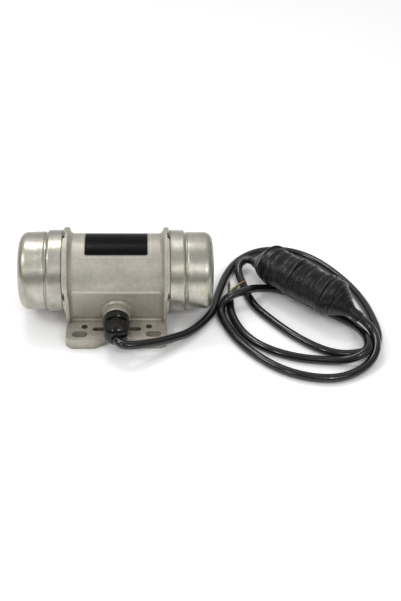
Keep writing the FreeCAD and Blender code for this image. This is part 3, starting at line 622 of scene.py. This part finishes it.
def both(*names):
    """The left and the right node of each name."""
    return [side + name for name in names for side in ("left_", "right_")]


def show(name, data):
    """An object in the scene with this shape, camera or light."""
    made = bpy.data.objects.new(name, data)
    bpy.context.scene.collection.objects.link(made)
    return made


def round_curve(name, radius, rings, resolution):
    """An empty curve with a round section and closed ends."""
    curve = bpy.data.curves.new(name, "CURVE")
    curve.dimensions = "3D"
    curve.bevel_depth = radius
    curve.bevel_resolution = rings
    curve.resolution_u = resolution
    curve.use_fill_caps = True
    return curve


def add_line(curve, points):
    """One more smooth line in the curve, with these control points."""
    spline = curve.splines.new("NURBS")
    spline.points.add(len(points) - 1)
    for point, place in zip(spline.points, points):
        point.co = (*place, 1)
    spline.order_u = 3
    spline.use_endpoint_u = True


def spline_curve(name, points, radius, rings=6):
    """A round cable along one smooth line with these control points."""
    curve = round_curve(name, radius, rings, 10)
    add_line(curve, points)
    return show(name, curve)


def line_points(points, resolution):
    """Points along the smooth line with these control points, that many for each."""
    guide = spline_curve("guide", points, 0)
    guide.data.resolution_u = resolution
    bpy.context.view_layer.update()
    mesh = bpy.data.meshes.new_from_object(guide)
    line = [v.co.copy() for v in mesh.vertices]
    curve = guide.data
    bpy.data.objects.remove(guide)
    bpy.data.curves.remove(curve)
    bpy.data.meshes.remove(mesh)
    return line


def mesh_piece(name, bm, material, sharp=35):
    """A finished mesh object from a bmesh, smooth apart from edges over the sharp angle."""
    mesh = bpy.data.meshes.new(name)
    bm.to_mesh(mesh)
    bm.free()
    mesh.polygons.foreach_set("use_smooth", [True] * len(mesh.polygons))
    mesh.set_sharp_from_angle(angle=math.radians(sharp))
    mesh.materials.append(material)
    return show(name, mesh)


class AxisLine:
    """A smooth axis with a place and two cross directions at each distance along it."""

    def __init__(self, points):
        self.line = line_points(points, 24)
        self.ends = [0.0]
        for a, b in zip(self.line, self.line[1:]):
            self.ends.append(self.ends[-1] + (b - a).length)
        self.length = self.ends[-1]

    def at(self, distance):
        """(centre, across, up) at that distance from the start."""
        distance = min(max(distance, 0.0), self.length)
        i = min(max(bisect.bisect_left(self.ends, distance), 1), len(self.ends) - 1)
        share = (distance - self.ends[i - 1]) / (self.ends[i] - self.ends[i - 1])
        centre = self.line[i - 1].lerp(self.line[i], share)
        low, high = max(i - 3, 0), min(i + 2, len(self.line) - 1)
        way = (self.line[high] - self.line[low]).normalized()
        across = way.cross(Vector((0, 0, 1))).normalized()
        return centre, across, across.cross(way)


def clamp(value):
    """The value, kept from 0 to 1."""
    return min(max(value, 0.0), 1.0)


def pack_radius(distance, length, radius):
    """Radius of the wrapped pack at a distance along its axis: nub, cone, body, cone, nozzle."""
    knots = (
        (0.0, 0.0052), (0.006, 0.0064), (0.0135, 0.0103), (0.0215, 0.0145), (0.0283, 0.0160),
        (0.0305, radius * 1.06), (0.040, radius * 0.99), (0.048, radius * 0.95),
        (0.056, radius * 1.02), (0.068, radius * 1.02), (0.080, radius * 0.96),
        (0.092, radius * 0.97), (length - 0.0345, radius * 1.06), (length - 0.0275, radius * 0.955),
        (length - 0.0105, 0.0058), (length - 0.0085, 0.0051), (length, 0.0051),
    )

    def straight(x):
        x = min(max(x, 0.0), length)
        for (x0, r0), (x1, r1) in zip(knots, knots[1:]):
            if x <= x1:
                return r0 + (r1 - r0) * (x - x0) / (x1 - x0)
        return knots[-1][1]

    steps = (-1.0, -0.5, 0.0, 0.5, 1.0)
    return sum(straight(distance + ROUNDING * step) for step in steps) / len(steps)


def wound_tape(sizes, axis):
    """The tape as one helical sweep, cut square at both ends and laid along the axis."""
    pitch, radius, step = sizes.pitch, sizes.radius, sizes.step
    turns = math.ceil(axis.length / pitch) + 2
    bm = bmesh.new()
    start = -TAPE_LEAD_IN * pitch
    profile = [(start + pitch * i / TAPE_ROWS, radius + step * (1 - i / TAPE_ROWS))
               for i in range(TAPE_ROWS)]
    profile.append((start + pitch, radius - TAPE_TUCK * step))
    profile.append((start + pitch, radius + step))
    verts = [bm.verts.new((x, r, 0)) for x, r in profile]
    edges = [bm.edges.new(pair) for pair in zip(verts, verts[1:])]
    bmesh.ops.spin(
        bm, geom=verts + edges, cent=(0, 0, 0), axis=(1, 0, 0), angle=2 * math.pi * turns,
        steps=sizes.segments * turns, dvec=(pitch / sizes.segments, 0, 0), use_merge=False,
        use_normal_flip=False, use_duplicate=False,
    )
    bmesh.ops.remove_doubles(bm, verts=bm.verts, dist=1e-6)
    for x, away in ((0.0, -1), (axis.length, 1)):
        bmesh.ops.bisect_plane(
            bm, geom=bm.verts[:] + bm.edges[:] + bm.faces[:], dist=1e-6, plane_co=(x, 0, 0),
            plane_no=(away, 0, 0), clear_outer=True, clear_inner=False,
        )
    lap = bm.verts.layers.float.new("lap")
    for vert in bm.verts:
        vert[lap] = clamp((math.hypot(vert.co.y, vert.co.z) - radius) / step)
    lay_tape(bm, sizes, axis)
    for x in (0.0, axis.length):
        close_end(bm, axis, x)
    bmesh.ops.recalc_face_normals(bm, faces=bm.faces)
    return bm


def by_turn(turns, rate, seed, size):
    """Smooth chance that changes from turn to turn, up to about the size either way."""
    return noise.noise(Vector((turns * rate + seed[0], seed[1], seed[2]))) * size


def by_place(x, angle, along, around, size):
    """Smooth chance that changes along the pack and round it, up to about the size either way."""
    return noise.noise(Vector((x * along, math.cos(angle) * around, math.sin(angle) * around))) * size


def lay_tape(bm, sizes, axis):
    """Moves the straight winding onto the pack: uneven edges, cones, creases and dents."""
    pitch, radius = sizes.pitch, sizes.radius
    for vert in bm.verts:
        x, angle = vert.co.x, math.atan2(vert.co.z, vert.co.y)
        lift = math.hypot(vert.co.y, vert.co.z) - radius
        turn = angle / (2 * math.pi)
        position = (x / pitch) - turn
        count = math.floor(position + 1e-4)
        share = clamp(position - count)
        turns = turn + count
        near, far = (sum(by_turn(t, *stray) for stray in STRAYS) * sizes.wander
                     for t in (turns, turns + 1))
        calm = clamp(min(x, axis.length - x) / CALM_END)
        x += ((1 - share) * near + share * far) * calm
        closer = math.pi * clamp(x / axis.length)
        x += axis.length * NARROWING / math.pi * math.sin(closer)
        spacing = 1 + NARROWING * math.cos(closer)
        wide = pack_radius(x, axis.length, radius)
        cone = wide / radius
        crease = sum(by_place(x, angle, *kind) for kind in CREASES) + by_turn(turns, *TURN_SWELL)
        if x < LEFT_CONE or x > axis.length - RIGHT_CONE:
            crease = crease * CONE_CALM + by_place(x, angle, *CONE_FOLDS)
        sag = SHOULDER_SAG * max(0.0, 1 - abs(x - SHOULDER) / SHOULDER_HALF)
        bulge = BODY_BULGE * clamp((x - LEFT_CONE) / BODY_EASE)
        out = wide * (1 - (sag - bulge) * math.sin(angle)) + crease * cone
        height = 1.0 + by_turn(turns, *STEP_CHANGE)
        out += max(lift, 0.0) * height * cone ** 2 * min(spacing, 1.0)
        centre, across, up = axis.at(x)
        vert.co = centre + (across * math.cos(angle) + up * math.sin(angle)) * out


def close_end(bm, axis, distance):
    """Closes one end of the wrap with a mouth that turns in on the cable."""
    centre, across, up = axis.at(distance)
    way = up.cross(across)
    inward = way if distance == 0.0 else -way

    def on_rim(vert):
        out = vert.co - centre
        return out.length < RIM_REACH and abs(out.dot(way)) < RIM_FLAT

    rim = [e for e in bm.edges if e.is_boundary and all(on_rim(v) for v in e.verts)]
    for depth, radius in MOUTH:
        made = bmesh.ops.extrude_edge_only(bm, edges=rim)["geom"]
        fresh = [g for g in made if isinstance(g, bmesh.types.BMVert)]
        for vert in fresh:
            out = vert.co - centre
            out -= way * out.dot(way)
            vert.co = centre + inward * depth + out.normalized() * radius
        rim = [g for g in made if isinstance(g, bmesh.types.BMEdge)
               and all(v in fresh for v in g.verts)]
    bmesh.ops.holes_fill(bm, edges=rim, sides=0)


class MOTOR_OT_camera(bpy.types.Operator):
    """Sets the camera where the photograph was taken from"""

    bl_idname = "motor.camera"
    bl_label = "Camera"

    def execute(self, context):
        studio = context.scene.motor_studio
        way = Vector((
            math.sin(studio.azimuth) * math.cos(studio.tilt),
            math.cos(studio.azimuth) * math.cos(studio.tilt),
            -math.sin(studio.tilt),
        ))
        camera = show("camera", bpy.data.cameras.new("camera"))
        camera.data.lens = studio.lens
        camera.data.sensor_width = SENSOR_WIDTH
        camera.data.clip_start = NEAREST_VIEW
        turn = way.to_track_quat("-Z", "Y").to_matrix() @ Matrix.Rotation(studio.roll, 3, "Z")
        place = Vector(CAMERA_TARGET) - way * studio.distance
        camera.matrix_world = Matrix.Translation(place) @ turn.to_4x4()
        context.scene.camera = camera
        return {"FINISHED"}


class MOTOR_OT_leads(bpy.types.Operator):
    """Makes the motor lead, the supply lead and the three bared cores"""

    bl_idname = "motor.leads"
    bl_label = "Leads and cores"

    def execute(self, context):
        sizes = context.scene.motor_leads
        jacket = cable_jacket(context.scene.motor_colours.rubber)
        for name, points in (("motor_lead", MOTOR_LEAD), ("supply_lead", SUPPLY_LEAD)):
            lead = spline_curve(name + "_jacket", points, sizes.cable_diameter / 2)
            lead.data.materials.append(jacket)
            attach(lead, FRAME_BODY)
            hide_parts(name)
        cores = self.cores(sizes)
        return {"FINISHED"}

    def cores(self, sizes):
        """The insulation of each core and its bared strands."""
        finishes = {
            "core_brown": core_plastic("brown core", (0.13, 0.055, 0.028)),
            "core_blue": core_plastic("blue core", (0.035, 0.11, 0.22)),
            "core_green_yellow": core_plastic("green and yellow core", (0.05, 0.13, 0.05),
                                              (0.42, 0.38, 0.10)),
        }
        copper = plain_metal("bare copper", (0.80, 0.42, 0.24), 1.0, 0.25, 0.4, 1500)
        made = []
        for name, points in CORES.items():
            sleeve = spline_curve(name + "_sleeve", points[:-1], sizes.core_diameter / 2, 4)
            sleeve.data.materials.append(finishes[name])
            strands = self.strands(name + "_strands", points, sizes)
            strands.data.materials.append(copper)
            for piece in (sleeve, strands):
                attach(piece, FRAME_BODY)
                made.append(piece)
            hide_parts(name)
        return made

    def strands(self, name, points, sizes):
        """Seven twisted strands from inside the sleeve's end to the core's last point."""
        start, end = Vector(points[-2]), Vector(points[-1])
        way = (end - start).normalized()
        start = start - way * STRAND_TUCK
        across = way.orthogonal().normalized()
        up = way.cross(across)
        reach = sizes.core_diameter / 2 - sizes.strand_diameter * STRAND_DEPTH
        curve = round_curve(name, sizes.strand_diameter / 2, 2, 4)
        for i in range(STRANDS_ROUND + 1):
            out = 0.0 if i == STRANDS_ROUND else reach
            cut = (end - start).length * (1 - STRAND_TRIM * (i % 3))
            line = []
            for k in range(STRAND_STEPS + 1):
                share = k / STRAND_STEPS
                angle = 2 * math.pi * (i / STRANDS_ROUND + STRAND_TWIST * share)
                loose = out * (1 + STRAND_SPREAD * share * share)
                place = start + way * (cut * share)
                line.append(place + (across * math.cos(angle) + up * math.sin(angle)) * loose)
            add_line(curve, line)
        return show(name, curve)


class MOTOR_OT_tape(bpy.types.Operator):
    """Winds the tape round the capacitor pack"""

    bl_idname = "motor.tape"
    bl_label = "Tape wrap"

    def execute(self, context):
        sizes = context.scene.motor_tape
        bm = wound_tape(sizes, AxisLine(PACK_AXIS))
        tape = mesh_piece("tape_wrap", bm, insulating_tape(context.scene.motor_colours.tape))
        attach(tape, FRAME_BODY)
        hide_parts("capacitor_wrap")
        return {"FINISHED"}


class MOTOR_OT_casing(bpy.types.Operator):
    """Finishes the casting, its plate, the end covers and the gland"""

    bl_idname = "motor.casing"
    bl_label = "Casting, covers and gland"

    def execute(self, context):
        colours = context.scene.motor_colours
        dress(cast_aluminium(colours.casting), "housing")
        dress(black_plate(), "nameplate")
        dress(drawn_steel(colours.cover), "left_cover", "right_cover")
        dress(black_polyamide(), "gland_body", "gland_nut")
        dress(soft_plastic("gland seal", RUBBER_BLACK, 0.6), "gland_seal")
        return {"FINISHED"}


class MOTOR_OT_works(bpy.types.Operator):
    """Finishes the pieces inside the casting and the covers"""

    bl_idname = "motor.works"
    bl_label = "Inner pieces"

    def execute(self, context):
        around = (1, 0.06, 0.06)
        dress(plain_metal("ground steel", (0.55, 0.55, 0.56), 1.0, 0.16, 0.32, 700, around),
              "shaft", *both("spacer", "weight_key", "weight_washer"))
        dress(plain_metal("laminations", (0.25, 0.25, 0.27), 1.0, 0.32, 0.5, 1400,
                          (1, 0.01, 0.01)), "rotor_core", "stator_core")
        dress(plain_metal("inner castings", (0.55, 0.54, 0.52), 0.9, 0.42, 0.58, 420),
              "rotor_cage", *both("bearing_shield"))
        dress(copper_windings(), "stator_windings")
        dress(plain_metal("zinc plate", (0.64, 0.64, 0.60), 1.0, 0.22, 0.38, 600),
              *both("shield_screws", "clamp_screw"))
        dress(plain_metal("blued spring steel", (0.11, 0.115, 0.13), 1.0, 0.25, 0.42, 800),
              *both("retaining_ring", "shaft_clip"))
        dress(plain_metal("bearing steel", (0.68, 0.68, 0.70), 1.0, 0.06, 0.16, 900, around),
              *both("bearing_outer_ring", "bearing_inner_ring", "bearing_balls"))
        dress(plain_metal("weight steel", (0.27, 0.27, 0.28), 1.0, 0.34, 0.52, 500, around),
              *both("fixed_weight", "adjustable_weight"))
        dress(soft_plastic("bearing cage", (0.42, 0.38, 0.26), 0.45), *both("bearing_cage"))
        dress(soft_plastic("cover seal", RUBBER_BLACK, 0.6), *both("cover_seal"))
        dress(soft_plastic("capacitor case", (0.72, 0.71, 0.67), 0.4), "capacitor")
        return {"FINISHED"}


class MOTOR_OT_studio(bpy.types.Operator):
    """Lays the pale floor and hangs the soft lights"""

    bl_idname = "motor.studio"
    bl_label = "Studio"

    def execute(self, context):
        studio = context.scene.motor_studio
        bm = bmesh.new()
        bmesh.ops.create_circle(bm, cap_ends=True, segments=96, radius=FLOOR_RADIUS,
                                matrix=Matrix.Translation(FLOOR_MIDDLE))
        sheet = Finish("studio floor", Roughness=0.65, Specular_IOR_Level=0.3)
        cloud = sheet.noise(sheet.place(), 3, 2, 0.5)
        tone = sheet.blend(sheet.spread(cloud, 0.3, 0.7), shade(studio.floor, 0.985),
                           tuple(studio.floor))
        # The floor's glow, with a painted shadow where things stand close above the floor
        glow = sheet.shade_and_grime((studio.glow,) * 3, (0, 0, 0), 0.05, 0.1, 1.0)
        sheet.shader.inputs["Emission Strength"].default_value = 1.0
        sheet.tree.links.new(glow, sheet.shader.inputs["Emission Color"])
        floor = mesh_piece("studio_floor", bm, sheet.paint(tone))
        for name, (place, size, aim, power) in LAMPS.items():
            self.lamp(name, place, size, aim, getattr(studio, power))
        self.surroundings(context.scene, studio.fill)
        context.scene.view_settings.view_transform = "Standard"
        return {"FINISHED"}

    def lamp(self, name, place, size, aim, power):
        """A lamp of that width and height that faces the aim."""
        light = bpy.data.lights.new(name, "AREA")
        light.shape = "RECTANGLE"
        light.size, light.size_y = size
        light.energy = power
        light.color = LAMP_COLOUR
        lamp = show(name, light)
        lamp.location = place
        way = Vector(aim) - Vector(place)
        lamp.rotation_euler = way.to_track_quat("-Z", "Y").to_euler()

    def surroundings(self, scene, fill):
        """A room that is bright above, dim in front and lit from behind."""
        world = bpy.data.worlds.new("studio room")
        world.use_nodes = True
        scene.world = world
        nodes = world.node_tree.nodes
        where = nodes.new("ShaderNodeTexCoord")
        parts = nodes.new("ShaderNodeSeparateXYZ")
        behind = nodes.new("ShaderNodeMath")
        behind.operation = "MULTIPLY"
        behind.use_clamp = True
        behind.inputs[1].default_value = ROOM_BEHIND
        height = nodes.new("ShaderNodeMath")
        height.operation = "MULTIPLY_ADD"
        height.inputs[1].default_value = ROOM_HEIGHT
        ramp = nodes.new("ShaderNodeValToRGB")
        back = nodes["Background"]
        back.inputs["Strength"].default_value = fill
        for output, socket in (
            (where.outputs["Generated"], parts.inputs[0]),
            (parts.outputs[1], behind.inputs[0]),
            (parts.outputs[2], height.inputs[0]),
            (behind.outputs[0], height.inputs[2]),
            (height.outputs[0], ramp.inputs[0]),
            (ramp.outputs[0], back.inputs["Color"]),
        ):
            world.node_tree.links.new(output, socket)
        stops = ramp.color_ramp.elements
        stops[0].position, stops[1].position = ROOM_LEVELS[0][0], ROOM_LEVELS[-1][0]
        for place, level in ROOM_LEVELS:
            ends = [stop for stop in stops if stop.position == place]
            stop = ends[0] if ends else stops.new(place)
            stop.color = (level, level, level * ROOM_BLUE, 1)


class MOTOR_PT_panel(bpy.types.Panel):
    """The steps that dress the motor, in order"""

    bl_idname = "MOTOR_PT_panel"
    bl_label = "Vibration motor"
    bl_space_type = "VIEW_3D"
    bl_region_type = "UI"
    bl_category = "Vibration motor"

    def draw(self, context):
        for operator in STEPS:
            self.layout.operator(operator.bl_idname)
        for settings in ("motor_leads", "motor_tape", "motor_colours", "motor_studio"):
            group = getattr(context.scene, settings)
            box = self.layout.box()
            for name in group.__annotations__:
                box.prop(group, name)


SETTINGS = {
    "motor_leads": LeadSizes,
    "motor_tape": TapeSizes,
    "motor_colours": FinishColours,
    "motor_studio": StudioSettings,
}
STEPS = (
    MOTOR_OT_camera,
    MOTOR_OT_leads,
    MOTOR_OT_tape,
    MOTOR_OT_casing,
    MOTOR_OT_works,
    MOTOR_OT_studio,
)


def register():
    """Registers the settings, the operators and the panel."""
    for group in SETTINGS.values():
        bpy.utils.register_class(group)
    for operator in (*STEPS, MOTOR_PT_panel):
        bpy.utils.register_class(operator)
    for name, group in SETTINGS.items():
        setattr(bpy.types.Scene, name, PointerProperty(type=group))


def unregister():
    """Takes the add-on out again."""
    for name in SETTINGS:
        delattr(bpy.types.Scene, name)
    for made in (MOTOR_PT_panel, *reversed(STEPS), *SETTINGS.values()):
        bpy.utils.unregister_class(made)


def main():
    register()
    bpy.ops.motor.camera()
    bpy.ops.motor.leads()
    bpy.ops.motor.tape()
    bpy.ops.motor.casing()
    bpy.ops.motor.works()
    bpy.ops.motor.studio()
    bpy.context.view_layer.update()


if __name__ == "__main__":
    main()
